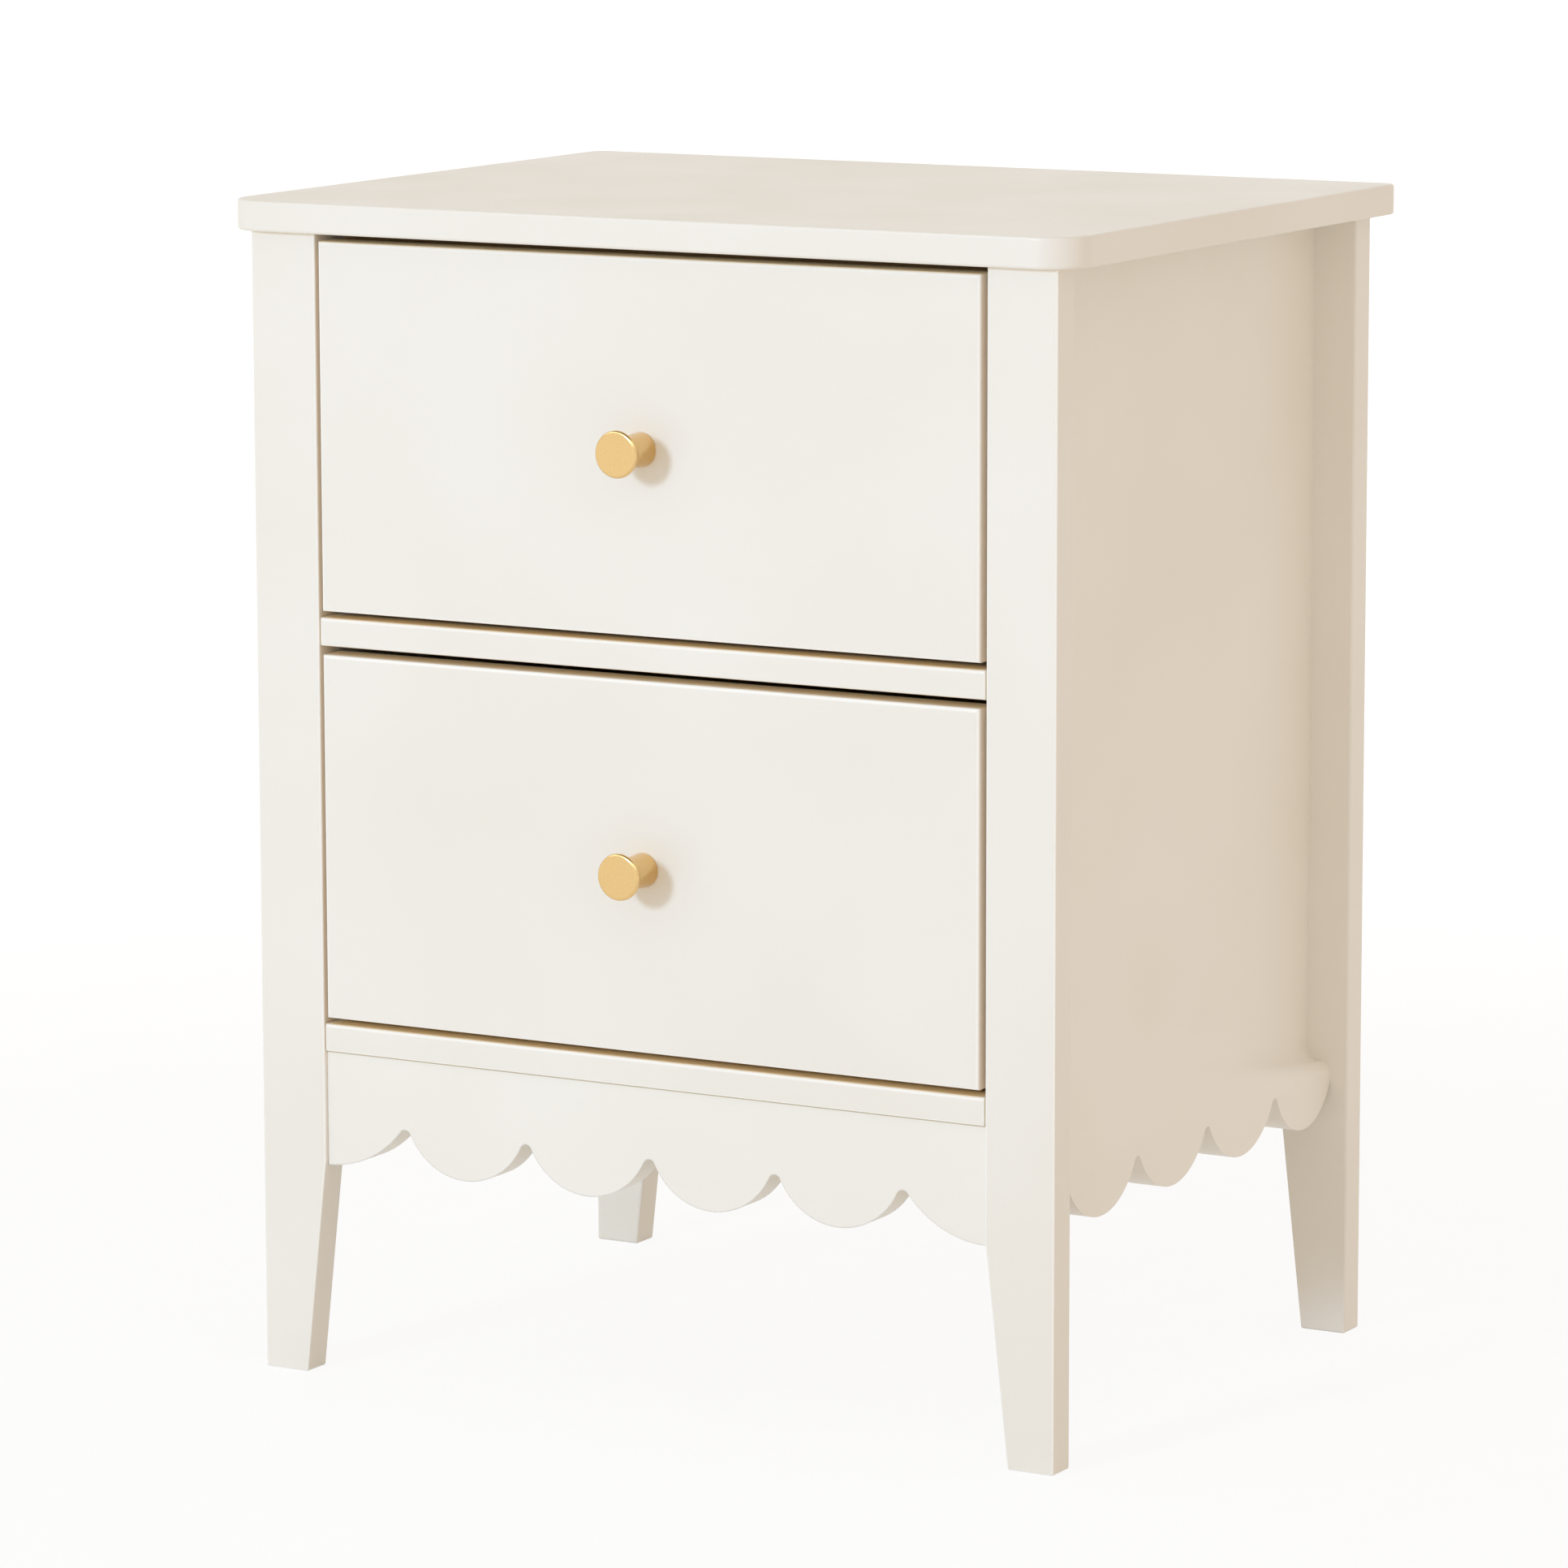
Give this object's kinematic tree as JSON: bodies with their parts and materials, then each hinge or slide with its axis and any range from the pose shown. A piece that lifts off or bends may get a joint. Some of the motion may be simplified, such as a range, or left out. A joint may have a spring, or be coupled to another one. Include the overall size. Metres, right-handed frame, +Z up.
{
  "type": "nightstand with drawers",
  "caption": "Ivory lacquered bedside table on tapered board legs, with inset drawers on ball-bearing slides, scalloped aprons and round brass knobs.",
  "frame": {"origin": "on the floor under the middle of the whole, knobs included", "axes": "+Z up, -Y towards the front that the drawers open to, +X to the right seen from the front"},
  "size_m": [0.494, 0.396, 0.62],
  "materials": {
    "lacquered_board": "satin",
    "painted_panel": "matte",
    "carcass_wood": "matte",
    "birch_plywood": "satin",
    "beech": "matte",
    "brass": "satin",
    "zinc_steel": "satin"
  },
  "bodies": {
    "cabinet": {"top_panel": "lacquered_board", "front_left_leg": "lacquered_board", "rear_left_leg": "lacquered_board", "front_right_leg": "lacquered_board", "rear_right_leg": "lacquered_board", "left_side_panel": "lacquered_board", "left_side_apron": "lacquered_board", "right_side_panel": "lacquered_board", "right_side_apron": "lacquered_board", "front_apron": "lacquered_board", "bottom_rail": "lacquered_board", "middle_rail": "lacquered_board", "front_top_stretcher": "carcass_wood", "left_top_cleat": "carcass_wood", "right_top_cleat": "carcass_wood", "rear_bottom_rail": "carcass_wood", "rear_top_rail": "carcass_wood", "bottom_panel": "painted_panel", "back_panel": "painted_panel", "frame_dowels": "beech", "carcass_screws": "zinc_steel", "back_panel_screws": "zinc_steel", "lower_left_cabinet_slide": "zinc_steel", "lower_right_cabinet_slide": "zinc_steel", "upper_left_cabinet_slide": "zinc_steel", "upper_right_cabinet_slide": "zinc_steel", "cabinet_slide_screws": "zinc_steel"},
    "upper_drawer": {"upper_drawer_front": "lacquered_board", "upper_drawer_bottom": "birch_plywood", "upper_box_front": "birch_plywood", "upper_box_back": "birch_plywood", "upper_box_left_side": "birch_plywood", "upper_box_right_side": "birch_plywood", "upper_box_screws": "zinc_steel", "upper_front_screws": "zinc_steel", "upper_knob": "brass", "upper_knob_screw": "zinc_steel", "upper_left_drawer_slide": "zinc_steel", "upper_right_drawer_slide": "zinc_steel", "upper_drawer_slide_screws": "zinc_steel"},
    "lower_drawer": {"lower_drawer_front": "lacquered_board", "lower_drawer_bottom": "birch_plywood", "lower_box_front": "birch_plywood", "lower_box_back": "birch_plywood", "lower_box_left_side": "birch_plywood", "lower_box_right_side": "birch_plywood", "lower_box_screws": "zinc_steel", "lower_front_screws": "zinc_steel", "lower_knob": "brass", "lower_knob_screw": "zinc_steel", "lower_left_drawer_slide": "zinc_steel", "lower_right_drawer_slide": "zinc_steel", "lower_drawer_slide_screws": "zinc_steel"},
    "upper_cages": {"upper_ball_cages": "zinc_steel"},
    "lower_cages": {"lower_ball_cages": "zinc_steel"}
  },
  "joints": [
    {"name": "upper_drawer_slide", "type": "slide", "parent": "cabinet", "child": "upper_drawer", "axis": [0, -1, 0], "range_m": [0, 0.224]},
    {"name": "upper_cage_slide", "type": "slide", "parent": "cabinet", "child": "upper_cages", "axis": [0, -1, 0], "range_m": [0, 0.112]},
    {"name": "lower_drawer_slide", "type": "slide", "parent": "cabinet", "child": "lower_drawer", "axis": [0, -1, 0], "range_m": [0, 0.224]},
    {"name": "lower_cage_slide", "type": "slide", "parent": "cabinet", "child": "lower_cages", "axis": [0, -1, 0], "range_m": [0, 0.112]}
  ],
  "couplings": [
    {"joint": "upper_cage_slide", "follows": "upper_drawer_slide", "ratio": 0.5},
    {"joint": "lower_cage_slide", "follows": "lower_drawer_slide", "ratio": 0.5}
  ]
}
